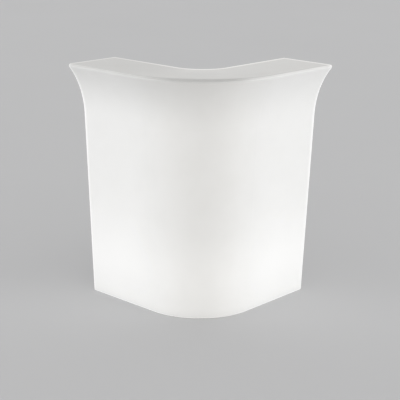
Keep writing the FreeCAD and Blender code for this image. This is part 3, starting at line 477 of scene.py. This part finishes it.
@dataclass(frozen=True)
class InnerGlow(Effect):
    """Light of the two lamps as it comes through the translucent wall, with painted highlights and painted
    shade added to it.
    """

    plan: CounterPlan
    shape: GlowShape
    name = "inner_glow"
    inputs = {"Level": 0.4, "Lamp": 0.1}
    outputs = {"Color": "NodeSocketColor", "Dull": VALUE}

    def lamp_bell(self, sketch: Sketch) -> Socket:
        """How near a point is to the lamp in its wing.

        Args:
            sketch: The group's tree.

        Returns:
            A bell round the lamp.
        """
        low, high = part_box("bulb_globe_right")
        x, y, z = sketch.axes()
        folded = sketch.node("ShaderNodeCombineXYZ", sketch.math("ABSOLUTE", x), y, z).outputs[0]
        apart = sketch.node("ShaderNodeVectorMath", folded, (low + high) / 2, operation="DISTANCE")
        return sketch.bell(apart.outputs["Value"], self.shape.lamp_width)

    def painted_highlights(self, sketch: Sketch, spot: Sockets, top: Socket) -> Socket:
        """Painted highlights on the rims of the worktop and the upright edges of the wings' ends.

        Args:
            sketch: The group's tree.
            spot: The point's place on the counter.
            top: Share of the worktop.

        Returns:
            The light of the painted highlights, to add.
        """
        plan, shape = self.plan, self.shape
        rear = plan.edge_round - plan.base_depth
        tip = plan.end_along - plan.end_round
        back = sketch.ramp(spot["Reach"], rear + shape.rim_width, rear)
        rim = sketch.most(back, sketch.ramp(spot["Along"], tip - shape.rim_width, tip))
        end = sketch.ramp(spot["Along"], tip - shape.edge_width, tip)
        high = sketch.ramp(spot["Height"], 0.0, plan.flare_start, shape.edge_low_share, 1.0)
        return sketch.most(
            sketch.product(rim, top, shape.rim_painted_highlight),
            sketch.product(end, high, shape.edge_painted_highlight),
        )

    def lip(self, sketch: Sketch, spot: Sockets, corner: Socket) -> tuple[Socket, Socket]:
        """The dimmer line along the rounded lip, and the painted shade of the crease where the lip rounds
        the corner.

        Args:
            sketch: The group's tree.
            spot: The point's place on the counter.
            corner: Bell of the corner.

        Returns:
            The light to add, below zero, and how far painted shade darkens the base colour in the crease,
            from 0 to 1.
        """
        plan, shape = self.plan, self.shape
        height, reach = spot["Height"], spot["Reach"]
        edge = plan.height - plan.edge_round
        line = sketch.bell(sketch.less(height, plan.height - shape.lip_drop), shape.lip_drop)
        front = sketch.ramp(reach, shape.lip_reach - shape.edge_width, shape.lip_reach)
        loss = sketch.ramp(corner, 0.0, 1.0, -shape.lip_loss, -shape.lip_crease)
        strip = sketch.ramp(reach, shape.lip_reach - shape.crease_width, shape.lip_reach + plan.edge_round)
        upper = sketch.ramp(height, edge - plan.edge_round, edge)
        # painted shade: the base colour darkens in the crease towards the corner's lip
        dull = sketch.ramp(corner, shape.crease_start, 1.0, 0.0, shape.crease_painted_shade)
        return sketch.product(line, front, loss), sketch.product(strip, upper, dull)

    def draw(self, sketch: Sketch, given: Sockets) -> Sockets:
        """Draws the group's nodes.

        Args:
            sketch: The group's tree.
            given: The group's inputs by name.

        Returns:
            The colour of the light, and how far painted shade darkens the base colour.
        """
        plan, shape = self.plan, self.shape
        spot = WingPlace(plan).put(sketch)
        height, side = spot["Height"], spot["Side"]
        skirt = plan.skirt_gap
        corner = sketch.bell(spot["Along"], shape.corner_width)
        low = sketch.bell(sketch.less(height, shape.low_height), shape.low_width)
        flare = sketch.ramp(height, plan.flare_start, plan.height)
        top = sketch.ramp(height, plan.height - shape.lip_drop / 2, plan.height)
        corner_shares = (
            sketch.ramp(top, 0.0, 1.0, 1.0, shape.worktop_corner_share),
            sketch.ramp(low, 0.0, 1.0, 1.0, shape.low_corner_share),
            sketch.ramp(spot["Reach"], -plan.base_depth, 0.0, shape.rear_corner_share, 1.0),
        )
        flare_share = sketch.ramp(corner, 0.0, 1.0, 1.0, shape.corner_flare_share)
        # painted light and shade: the right wing's flare lighter and the left one's darker
        lean = sketch.ramp(side, -shape.side_width, shape.side_width, -shape.side_painted_light, shape.side_painted_light)
        lip_loss, crease = self.lip(sketch, spot, corner)
        level = sketch.total(
            given["Level"],
            sketch.product(self.lamp_bell(sketch), given["Lamp"]),
            sketch.product(low, shape.low_gain),
            sketch.product(corner, *corner_shares, -shape.corner_loss),
            sketch.product(flare, flare_share, -shape.flare_loss),
            sketch.ramp(height, 0.0, shape.skirt_height, -shape.skirt_loss, 0.0),
            sketch.ramp(height, skirt, skirt + plan.edge_round, shape.under_gain, 0.0),
            sketch.product(top, -shape.worktop_loss),
            # painted shade: the worktop darker towards the left end
            sketch.product(top, sketch.ramp(side, 0.0, -plan.end_along), -shape.worktop_side_painted_shade),
            # painted light and shade on the flares of the two wings
            sketch.product(lean, sketch.less(flare, top)),
            # painted highlights on the worktop's rims and the wings' upright end edges
            self.painted_highlights(sketch, spot, top),
            lip_loss,
        )
        cloud = sketch.noise(shape.cloud_size, shape.cloud_octaves)
        cloud = sketch.ramp(cloud, 0.0, 1.0, 1.0 - shape.cloud_share, 1.0 + shape.cloud_share)
        tint = sketch.mix(sketch.most(corner, top), (*shape.cool, 1.0), (*shape.warm, 1.0))
        bright = sketch.node("ShaderNodeVectorMath", tint, operation="SCALE")
        sketch.feed(bright.inputs["Scale"], sketch.most(sketch.product(level, cloud), 0.0))
        return {"Color": bright.outputs[0], "Dull": crease}


@dataclass(frozen=True)
class Grain(Effect):
    """A fine grain with broad clouds in its tone. Lengths are in metres."""

    name: str
    fine_octaves: float
    broad_size: float
    broad_octaves: float
    tone_limits: Limits = (0.4, 0.8)
    rough_limits: Limits = (0.3, 0.7)
    stretch: Colour = (1.0, 1.0, 1.0)
    fine_rough: bool = False  # whether the roughness follows the fine grain or the clouds
    mark_limits: Limits | None = None  # levels of the fine grain that show in the tone
    wave_share: float = 0.0  # height of slow waves against that of the grain
    wave_size: float = 0.06
    wave_octaves: float = 1.0
    inputs = {"Grain": 1.0 * MM}
    outputs = dict.fromkeys(("Tone", "Rough", "Height"), VALUE)

    def draw(self, sketch: Sketch, given: Sockets) -> Sockets:
        """Draws the group's nodes.

        Args:
            sketch: The group's tree.
            given: The group's inputs by name.

        Returns:
            Colour share, roughness share and height.
        """
        fine = sketch.noise(given["Grain"], self.fine_octaves, self.stretch)
        broad = sketch.noise(self.broad_size, self.broad_octaves)
        height = fine
        tone = sketch.ramp(broad, *self.tone_limits)
        if self.mark_limits:
            tone = sketch.product(tone, sketch.ramp(fine, *self.mark_limits))
        if self.wave_share:
            wave = sketch.noise(self.wave_size, self.wave_octaves)
            height = sketch.total(fine, sketch.product(wave, self.wave_share))
        rough = sketch.ramp(fine if self.fine_rough else broad, *self.rough_limits)
        return {"Tone": tone, "Rough": rough, "Height": height}


class FinishBook:
    """Makes each finish's material and hands it out by the record's slot."""

    bump_strength = 0.6
    # black that the painted shade of the lip's crease mixes into the base colour
    dark: Colour = (0.0, 0.0, 0.0)
    grains = {
        MOULDED: Grain(
            "mould_grain", fine_octaves=2.0, broad_size=0.12, broad_octaves=4.0,
            tone_limits=(0.35, 0.75), fine_rough=True, wave_share=0.35,
        ),
        METAL: Grain(
            "turned_metal", fine_octaves=3.0, broad_size=0.008, broad_octaves=4.0,
            stretch=(1.0, 1.0, 9.0), mark_limits=(0.2, 0.8),
        ),
        RUBBER: Grain("rubber_bloom", fine_octaves=4.0, broad_size=0.012, broad_octaves=5.0),
    }

    def __init__(self, plan: CounterPlan, glow: GlowShape) -> None:
        """Makes all the materials, from the counter's sizes and the shape of the light through the wall."""
        self.glow = InnerGlow(plan, glow)
        self.materials = {finish.slot: self.material(finish) for finish in FINISHES}

    def material(self, finish: Finish) -> bpy.types.Material:
        """Makes one finish's material.

        Args:
            finish: The finish.

        Returns:
            The material.
        """
        made = bpy.data.materials.new(finish.slot)
        made.use_nodes = True
        sketch = Sketch(made.node_tree)
        shader = made.node_tree.nodes["Principled BSDF"]
        grain = self.grains[finish.surface].put(sketch, Grain=finish.grain_mm * MM)
        tone = sketch.mix(grain["Tone"], (*finish.tone, 1.0), (*finish.shade, 1.0))
        smooth, dull = finish.roughness - finish.rough_spread, finish.roughness + finish.rough_spread
        bump = sketch.node("ShaderNodeBump")
        relief = finish.relief_mm * MM
        sketch.fill(bump, {"Strength": self.bump_strength, "Distance": relief, "Height": grain["Height"]})
        values = {
            "Base Color": tone,
            "Roughness": sketch.ramp(grain["Rough"], 0.0, 1.0, smooth, dull),
            "Normal": bump.outputs[0],
            "Metallic": 1.0 if finish.surface is METAL else 0.0,
            "Coat Weight": finish.coat,
        }
        if finish.glow:
            # emission: the lamps' light through the wall, which also carries painted highlights and painted
            # shade
            glow = self.glow.put(sketch, Level=finish.glow, Lamp=finish.lamp)
            values["Emission Color"] = glow["Color"]
            # painted shade: the base colour darkens towards black in the corner's lip crease
            values["Base Color"] = sketch.mix(glow["Dull"], tone, (*self.dark, 1.0))
        elif finish.emission:
            values["Emission Color"] = (*finish.emission, 1.0)
        if finish.glow or finish.emission:
            values["Emission Strength"] = 1.0
        sketch.fill(shader, values)
        return made

    def dress(self, piece: bpy.types.Object, slot: str) -> None:
        """Gives a piece the material of a slot of the record."""
        piece.data.materials.clear()
        piece.data.materials.append(self.materials[slot])


def flat(radius: float) -> Radius:
    """A ring of one radius all round."""
    return lambda angle: radius


def hexagon(flats: float, limit: float) -> Radius:
    """A hexagonal ring of that width over its flats, with its corners turned down to a limit."""
    side = math.pi / 3
    return lambda angle: min(flats / 2 / math.cos(angle % side - side / 2), limit)


def fluted(radius: float, depth: float, count: int) -> Radius:
    """A ring of that radius over its ribs, with that many round grooves of that depth."""
    return lambda angle: radius - depth * math.cos(count * angle / 2) ** 4


def rounded_bar(half_width: float, half_height: float, squareness: float) -> Radius:
    """A rounded bar's outline.

    Args:
        half_width: Half of its width.
        half_height: Half of its height.
        squareness: Power of the outline: 2 is an ellipse, and more is squarer.

    Returns:
        The outline's radius by angle.
    """
    def radius(angle: float) -> float:
        """Radius of the outline at an angle."""
        shares = (math.cos(angle) / half_width, math.sin(angle) / half_height)
        return sum(abs(share) ** squareness for share in shares) ** (-1 / squareness)

    return radius


@dataclass(frozen=True)
class Thread:
    """A screw thread that fades out at both ends. Lengths are in metres."""

    crest: float  # outer radius
    root: float  # radius at the bottom of the groove
    pitch: float  # rise of one turn
    rows: int  # rings in one turn
    flank: float = 1.6  # steepness of the tooth's sides
    groove: float = 0.3  # how far the tooth's foot is cut off, which leaves the groove flat

    def radius(self, turns: float, fade: float, angle: float) -> float:
        """Radius of one point.

        Args:
            turns: Turns of the thread up to the point's height.
            fade: Share of the tooth's full height.
            angle: Angle round the axis.

        Returns:
            The radius.
        """
        phase = (turns - angle / math.tau) % 1.0
        tooth = min(1.0, max(0.0, self.flank * (1 - abs(2 * phase - 1)) - self.groove))
        return self.root + (self.crest - self.root) * tooth * fade

    def rings(self, start: float, length: float) -> list[Ring]:
        """Rings of the thread, from its lower end up.

        Args:
            start: Height of its lower end.
            length: Its length.

        Returns:
            The rings.
        """
        count = round(length / self.pitch * self.rows)
        made: list[Ring] = []
        for k in range(count + 1):
            rise = length * k / count
            fade = min(1.0, rise / self.pitch, (length - rise) / self.pitch)
            made.append((start + rise, functools.partial(self.radius, rise / self.pitch, fade)))
        return made


def new_piece(name: str, points: Sequence[Vector], faces: Sequence[tuple[int, ...]]) -> bpy.types.Object:
    """Makes a piece from points and faces, shaded smooth between its sharp edges.

    Args:
        name: The piece's name.
        points: Its points in the part's frame.
        faces: Its faces, by the points' places in the list.

    Returns:
        The piece, in the scene.
    """
    mesh = bpy.data.meshes.new(name)
    mesh.from_pydata(points, [], faces)
    mesh.shade_smooth()
    mesh.set_sharp_from_angle(angle=SMOOTH_LIMIT)
    piece = bpy.data.objects.new(name, mesh)
    bpy.context.scene.collection.objects.link(piece)
    return piece


def skin(rows: int, steps: int, closed: bool) -> list[tuple[int, ...]]:
    """Faces between rows of points, each row a ring.

    Args:
        rows: How many rows there are.
        steps: Points in a row.
        closed: True where the last row joins the first.

    Returns:
        The faces, by the points' places in the list.
    """
    faces = []
    for row in range(rows if closed else rows - 1):
        near, far = row * steps, (row + 1) % rows * steps
        for k in range(steps):
            after = (k + 1) % steps
            faces.append((near + k, near + after, far + after, far + k))
    return faces


def turned_piece(
    name: str, rings: Sequence[Ring], place: Matrix, steps: int, hollow: bool = False
) -> bpy.types.Object:
    """Builds a closed piece from rings round an axis.

    Args:
        name: The piece's name.
        rings: Height and radius of each ring, so that the outside runs upwards.
        place: The axis's place: its Z is the axis.
        steps: Points in a ring.
        hollow: True where the last ring joins the first, as in a tube.

    Returns:
        The piece.
    """
    points = []
    for height, radius in rings:
        for k in range(steps):
            angle = math.tau * k / steps
            out = radius(angle)
            points.append(place @ Vector((out * math.cos(angle), out * math.sin(angle), height)))
    faces = skin(len(rings), steps, hollow)
    if not hollow:
        faces.append(tuple(reversed(range(steps))))
        faces.append(tuple(range(len(points) - steps, len(points))))
    return new_piece(name, points, faces)


def beaded_piece(
    name: str, route: Sequence[tuple[Vector, Vector]], radius: float, sides: int
) -> bpy.types.Object:
    """Builds a round bead along a closed route.

    Args:
        name: The piece's name.
        route: The route's points in order, each with a direction across the route.
        radius: The bead's radius.
        sides: Points round the bead.

    Returns:
        The piece.
    """
    points = []
    count = len(route)
    for i, (point, across) in enumerate(route):
        ahead = (route[(i + 1) % count][0] - route[i - 1][0]).normalized()
        beside = ahead.cross(across)
        for k in range(sides):
            angle = math.tau * k / sides
            points.append(point + (across * math.cos(angle) + beside * math.sin(angle)) * radius)
    return new_piece(name, points, skin(count, sides, closed=True))


@dataclass(frozen=True)
class Assembly:
    """Shared work of the sub-assemblies: settling a new piece on its body with its finish."""

    book: FinishBook

    def settle(self, piece: bpy.types.Object, body: str, slot: str, *nodes: str) -> None:
        """Rides a new piece on its body, dresses it and logs it.

        Args:
            piece: The new piece.
            body: The body that it moves with.
            slot: The record's slot of its finish.
            *nodes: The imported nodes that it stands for.
        """
        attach(piece, body)
        if nodes:
            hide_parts(*nodes)
        self.book.dress(piece, slot)
        LOG.info("%s rides on %s in %s", piece.name, body, slot)


class PackedPieces(Assembly):
    """The part's own pieces, each in the finish of its slot."""

    def dress(self) -> None:
        """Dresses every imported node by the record."""
        for row in frame["record"]["subparts"]:
            piece = frame["nodes"][row["node"]]
            self.book.dress(piece, row["material_slot"])
            LOG.info("%s dressed in %s", piece.name, row["material_slot"])


@dataclass(frozen=True)
class LevellingFoot(Assembly):
    """One foot: a ribbed rubber pad with treads and a threaded stud. Lengths are in metres."""

    name: str
    pad_radius: float = 20.0 * MM
    pad_height: float = 9.0 * MM
    pad_round: float = 1.5 * MM
    round_steps: int = 4
    side_height: float = 4.0 * MM
    seat_radius: float = 5.05 * MM
    neck_radius: float = 8.5 * MM
    rib_depth: float = 0.5 * MM
    rib_count: int = 24
    hub_radius: float = 1.2 * MM  # flat middle of the underside
    tread_depth: float = 0.8 * MM
    tread_width: float = 1.2 * MM
    tread_rings: int = 3
    thread: Thread = Thread(crest=5.0 * MM, root=4.2 * MM, pitch=1.5 * MM, rows=6)
    stud_top: float = 55.0 * MM
    hex_flats: float = 17.0 * MM
    hex_height: float = 6.0 * MM
    chamfer: float = 0.6 * MM
    steps: int = 48

    def pad_rings(self) -> list[Ring]:
        """Rings of the pad, from under its middle round to its seat.

        Returns:
            The rings.
        """
        rings: list[Ring] = [(0.0, flat(self.hub_radius))]
        pitch = (self.pad_radius - 2 * self.pad_round) / (self.tread_rings + 1)
        for k in range(1, self.tread_rings + 1):
            inner = flat(pitch * k - self.tread_width / 2)
            outer = flat(pitch * k + self.tread_width / 2)
            rings += [(0.0, inner), (self.tread_depth, inner), (self.tread_depth, outer), (0.0, outer)]
        for k in range(self.round_steps):
            angle = k / self.round_steps * QUARTER_TURN
            radius = self.pad_radius - self.pad_round * (1 - math.sin(angle))
            rings.append((self.pad_round * (1 - math.cos(angle)), flat(radius)))
        ribs = fluted(self.pad_radius, self.rib_depth, self.rib_count)
        shoulder = flat(self.pad_radius - self.rib_depth)
        side, seat = self.side_height, flat(self.seat_radius)
        rings += [(self.pad_round, ribs), (side - self.rib_depth, ribs), (side, shoulder)]
        rings.append((self.pad_height - self.rib_depth, flat(self.neck_radius + self.rib_depth)))
        return rings + [(self.pad_height, flat(self.neck_radius)), (self.pad_height, seat), (side, seat)]

    def stud_rings(self) -> list[Ring]:
        """Rings of the stud, from its spigot in the pad to the thread's tip.

        Returns:
            The rings.
        """
        low, base, top = self.side_height, self.pad_height, self.pad_height + self.hex_height
        cut, thread = self.chamfer, self.thread
        spigot = flat(thread.crest)
        edge = hexagon(self.hex_flats, self.hex_flats / 2)
        full = hexagon(self.hex_flats, self.hex_flats / math.sqrt(3))
        rings: list[Ring] = [(low, flat(thread.crest - cut)), (low + cut, spigot), (base, spigot)]
        rings += [(base, edge), (base + cut, full), (top - cut, full), (top, edge)]
        rings += thread.rings(top, self.stud_top - top - cut)
        return rings + [(self.stud_top, flat(thread.root - cut))]

    def build(self) -> None:
        """Builds and dresses the foot's two pieces."""
        body = "foot_" + self.name
        place = standing_place("foot_pad_" + self.name)
        pad = turned_piece("treaded_pad_" + self.name, self.pad_rings(), place, self.steps)
        self.settle(pad, body, "foot_rubber", "foot_pad_" + self.name)
        stud = turned_piece("threaded_stud_" + self.name, self.stud_rings(), place, self.steps)
        self.settle(stud, body, "stud_steel", "foot_stud_" + self.name)


@dataclass(frozen=True)
class BulbCap(Assembly):
    """A bulb's screw cap with its rolled thread. Lengths are in metres."""

    side: str
    thread: Thread = Thread(crest=13.2 * MM, root=12.3 * MM, pitch=3.6 * MM, rows=8)
    contact_radius: float = 4.5 * MM
    contact_height: float = 3.0 * MM
    collar: float = 4.0 * MM
    collar_edge: float = 2.0 * MM  # the straight upper part of the collar
    steps: int = 48

    def build(self) -> None:
        """Builds and dresses the cap."""
        node = "bulb_cap_" + self.side
        low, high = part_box(node)
        tall = high.z - low.z
        edge = flat(self.thread.crest)
        rings: list[Ring] = [(0.0, flat(self.contact_radius))]
        rings += self.thread.rings(self.contact_height, tall - self.contact_height - self.collar)
        rings += [(tall - self.collar_edge, edge), (tall, edge)]
        cap = turned_piece("threaded_cap_" + self.side, rings, standing_place(node), self.steps)
        self.settle(cap, "counter", "cap_metal", node)


@dataclass(frozen=True)
class GlandNut(Assembly):
    """The ribbed dome nut that closes the cable gland. Lengths are in metres."""

    base: float = -6.7 * MM  # along the gland's axis from the middle of the seal
    length: float = 18.0 * MM
    radius: float = 12.0 * MM
    room_radius: float = 9.05 * MM
    mouth_radius: float = 5.8 * MM
    mouth_length: float = 4.5 * MM
    mouth_chamfer: float = 0.6 * MM
    nose_round: float = 3.0 * MM
    nose_step: float = 0.2 * MM  # how far the nose stands in from the ribs
    nose_rings: int = 5
    flute_depth: float = 0.8 * MM
    flute_count: int = 14
    collar: float = 1.2 * MM
    steps: int = 112

    def rings(self) -> list[Ring]:
        """Rings of the nut, up its outside and down its bore.

        Returns:
            The rings.
        """
        body, mouth, room = flat(self.radius), flat(self.mouth_radius), flat(self.room_radius)
        ribs = fluted(self.radius, self.flute_depth, self.flute_count)
        nose = self.radius - self.nose_step
        nose_start = self.length - self.nose_round
        seat = self.length - self.mouth_length
        made: list[Ring] = [(0.0, body), (self.collar, body), (self.collar + self.flute_depth, ribs)]
        made += [(nose_start - self.collar, ribs), (nose_start, flat(nose))]
        for k in range(1, self.nose_rings + 1):
            angle = k / self.nose_rings * QUARTER_TURN
            radius = nose - self.nose_round * (1 - math.cos(angle))
            made.append((self.length - self.nose_round * (1 - math.sin(angle)), flat(radius)))
        made.append((self.length, flat(self.mouth_radius + self.mouth_chamfer)))
        return made + [(self.length - self.mouth_chamfer, mouth), (seat, mouth), (seat, room), (0.0, room)]

    def build(self) -> None:
        """Builds and dresses the nut."""
        entry = mount("cable_entry")
        axis = Vector(entry["axis"])
        turn = axis.to_track_quat("Z", "Y").to_matrix().to_4x4()
        place = Matrix.Translation(Vector(entry["pos_m"]) + axis * self.base) @ turn
        nut = turned_piece("ribbed_dome_nut", self.rings(), place, self.steps, hollow=True)
        self.settle(nut, "counter", "gland_grey", "gland_dome_nut")


@dataclass(frozen=True)
class SwitchMarks(Assembly):
    """The raised bar and ring that mark the rocker's lit and dark sides. Lengths are in metres."""

    fold_rise: float = 3.0 * MM  # middle of the rocker's face over its pivot
    half_angle: float = math.radians(12)  # lean of each half of the face from the fold's tangent
    run: float = 3.6 * MM  # from the fold to a mark's middle
    height: float = 0.12 * MM
    sunk: float = 0.08 * MM
    bar_half_width: float = 0.38 * MM
    bar_half_height: float = 1.5 * MM
    ring_outer: float = 1.6 * MM
    ring_inner: float = 1.0 * MM
    squareness: float = 8.0
    steps: int = 40

    @property
    def pivot(self) -> Matrix:
        """The rocker's pivot: X along it, Y out of the cover and Z up.

        Returns:
            Its place.
        """
        hinge = joint("switch_tilt")
        axes = (Vector(hinge["axis"]), Vector(mount("cable_entry")["axis"]), Vector((0, 0, 1)))
        return Matrix.Translation(hinge["pos_m"]) @ Matrix(axes).transposed().to_4x4()

    def face(self, tilt: float, run: float) -> Matrix:
        """Place of a mark: its Z stands out of the rocker's face.

        Args:
            tilt: Lean of that half of the face from the upright.
            run: Signed run from the fold to the mark, up positive.

        Returns:
            The mark's place.
        """
        fold = Vector((0, math.cos(self.half_angle), math.sin(self.half_angle))) * self.fold_rise
        up = Vector((0, -math.sin(tilt), math.cos(tilt)))
        normal = Vector((0, math.cos(tilt), math.sin(tilt)))
        axes = Matrix((up.cross(normal), up, normal)).transposed().to_4x4()
        return self.pivot @ Matrix.Translation(fold + up * run) @ axes

    def build(self) -> None:
        """Builds and dresses the two marks."""
        outline = rounded_bar(self.bar_half_width, self.bar_half_height, self.squareness)
        outer, inner = flat(self.ring_outer), flat(self.ring_inner)
        lit, dark = self.face(0.0, self.run), self.face(2 * self.half_angle, -self.run)
        rings = [(-self.sunk, outline), (self.height, outline)]
        bar = turned_piece("lit_bar_mark", rings, lit, self.steps)
        self.settle(bar, "switch_rocker", "board_white")
        rings = [(-self.sunk, outer), (self.height, outer), (self.height, inner), (-self.sunk, inner)]
        ring = turned_piece("dark_ring_mark", rings, dark, self.steps, hollow=True)
        self.settle(ring, "switch_rocker", "board_white")


@dataclass(frozen=True)
class PartingBead(Assembly):
    """The low bead that the mould's joint leaves round the back wall. Lengths are in metres."""

    plan: CounterPlan
    radius: float = 0.7 * MM
    corner: float = 14.0 * MM
    corner_points: int = 7
    bend_points: int = 25
    sides: int = 10

    def turn(self, side: int, height: float, quarter: int) -> list[tuple[float, float]]:
        """One round corner of the route.

        Args:
            side: 1 in the right wing and -1 in the left one.
            height: Height of the corner's centre.
            quarter: Quarter turn that it starts from.

        Returns:
            Its points: the run along the wall, and the height.
        """
        centre = side * (self.plan.back_half - self.corner)
        points = []
        for k in range(self.corner_points):
            angle = (quarter + k / (self.corner_points - 1)) * QUARTER_TURN
            points.append((centre + self.corner * math.cos(angle), height + self.corner * math.sin(angle)))
        return points

    def route(self) -> list[tuple[Vector, Vector]]:
        """The bead's route round the back wall.

        Returns:
            Its points in order, each with the wall's outward direction.
        """
        plan = self.plan
        low, high = plan.skirt_gap + plan.edge_round, plan.height - plan.edge_round
        lower, upper = low + self.corner, high - self.corner
        last = self.bend_points - 1
        row = [plan.back_bend * (2 * k / last - 1) for k in range(self.bend_points)]
        points = [(along, low) for along in row]
        points += self.turn(1, lower, -1) + self.turn(1, upper, 0)
        points += [(along, high) for along in reversed(row)]
        points += self.turn(-1, upper, 1) + self.turn(-1, lower, 2)
        return [(plan.back_point(along, height), plan.back_normal(along)) for along, height in points]

    def build(self) -> None:
        """Builds and dresses the bead."""
        bead = beaded_piece("parting_bead", self.route(), self.radius, self.sides)
        self.settle(bead, "counter", "shell_plastic")


@dataclass(frozen=True)
class LampSpec:
    """One soft studio lamp, so far off that it lights the whole floor evenly."""

    name: str
    place: Colour  # a point on the line that its light comes along
    strength: float


@dataclass(frozen=True)
class Studio:
    """Plain floor, soft light and the photograph's viewpoint. Lengths are metres, angles radians."""

    aim: Colour = (0.0, 0.0, 0.5)
    floor_size: float = 60.0
    floor_tone: Colour = (0.53, 0.53, 0.535)
    floor_shade: Colour = (0.515, 0.515, 0.52)
    floor_patch: float = 1.5
    floor_octaves: float = 3.0
    floor_rough: float = 0.7
    sky: Colour = (1.0, 1.0, 1.0)
    sky_strength: float = 0.52
    backdrop_strength: float = 0.50  # what the camera and reflections see past the floor
    camera_place: Colour = (-0.18410, -4.88432, 1.90152)
    yaw: float = 0.03724
    pitch: float = 0.27825
    roll: float = 0.01053
    lens_mm: float = 102.259
    sensor_mm: float = 36.0
    lamp_spread: float = math.radians(85)  # angle that a lamp fills, seen from the counter
    lamps: tuple[LampSpec, ...] = (
        LampSpec("key", (5.2, -7.2, 4.1), 1.47),
        LampSpec("fill", (-6.8, -6.4, 3.7), 1.05),
        LampSpec("back", (0.8, 7.6, 7.6), 0.44),
    )

    def floor(self) -> None:
        """Lays the floor."""
        half = self.floor_size / 2
        corners = [(-half, -half, 0), (half, -half, 0), (half, half, 0), (-half, half, 0)]
        mesh = bpy.data.meshes.new("floor")
        mesh.from_pydata(corners, [], [(0, 1, 2, 3)])
        made = bpy.data.materials.new("studio_floor")
        made.use_nodes = True
        sketch = Sketch(made.node_tree)
        shader = made.node_tree.nodes["Principled BSDF"]
        patch = sketch.noise(self.floor_patch, self.floor_octaves)
        tone = sketch.mix(patch, (*self.floor_tone, 1.0), (*self.floor_shade, 1.0))
        sketch.fill(shader, {"Base Color": tone, "Roughness": self.floor_rough})
        mesh.materials.append(made)
        floor = bpy.data.objects.new("floor", mesh)
        bpy.context.scene.collection.objects.link(floor)

    def light(self) -> None:
        """Sets the soft lamps and the even light from all round."""
        world = bpy.data.worlds.new("studio")
        world.use_nodes = True
        sketch = Sketch(world.node_tree)
        sky = world.node_tree.nodes["Background"]
        path = sketch.node("ShaderNodeLightPath").outputs
        seen = sketch.most(path["Is Camera Ray"], path["Is Glossy Ray"], path["Is Transmission Ray"])
        strength = sketch.ramp(seen, 0.0, 1.0, self.sky_strength, self.backdrop_strength)
        sketch.fill(sky, {"Color": (*self.sky, 1.0), "Strength": strength})
        bpy.context.scene.world = world
        for spec in self.lamps:
            data = bpy.data.lights.new(spec.name, "SUN")
            data.angle = self.lamp_spread
            data.energy = spec.strength
            lamp = bpy.data.objects.new(spec.name, data)
            lamp.location = spec.place
            lamp.visible_camera = False
            lamp.rotation_mode = "QUATERNION"
            lamp.rotation_quaternion = (Vector(self.aim) - Vector(spec.place)).to_track_quat("-Z", "Y")
            bpy.context.scene.collection.objects.link(lamp)

    def camera(self) -> None:
        """Sets the camera at the photograph's viewpoint."""
        data = bpy.data.cameras.new("camera")
        data.lens = self.lens_mm
        data.sensor_width = self.sensor_mm
        camera = bpy.data.objects.new("camera", data)
        level = math.cos(self.pitch)
        look = Vector((math.sin(self.yaw) * level, math.cos(self.yaw) * level, -math.sin(self.pitch)))
        camera.location = self.camera_place
        camera.rotation_mode = "QUATERNION"
        camera.rotation_quaternion = look.to_track_quat("-Z", "Y") @ Quaternion((0, 0, 1), self.roll)
        bpy.context.scene.collection.objects.link(camera)
        bpy.context.scene.camera = camera

    def build(self) -> None:
        """Builds the whole studio."""
        self.floor()
        self.light()
        self.camera()
        bpy.context.scene.view_settings.view_transform = "Standard"


def main() -> None:
    """Builds the sub-assemblies in order and reports each piece."""
    logging.basicConfig(level=logging.INFO, format="%(message)s")
    plan = CounterPlan()
    book = FinishBook(plan, GlowShape())
    Studio().build()
    PackedPieces(book).dress()
    for body in frame["bodies"]:
        if body.startswith("foot_"):
            LevellingFoot(book, body.removeprefix("foot_")).build()
    for side in ("left", "right"):
        BulbCap(book, side).build()
    GlandNut(book).build()
    SwitchMarks(book).build()
    PartingBead(book, plan).build()


if __name__ == "__main__":
    main()
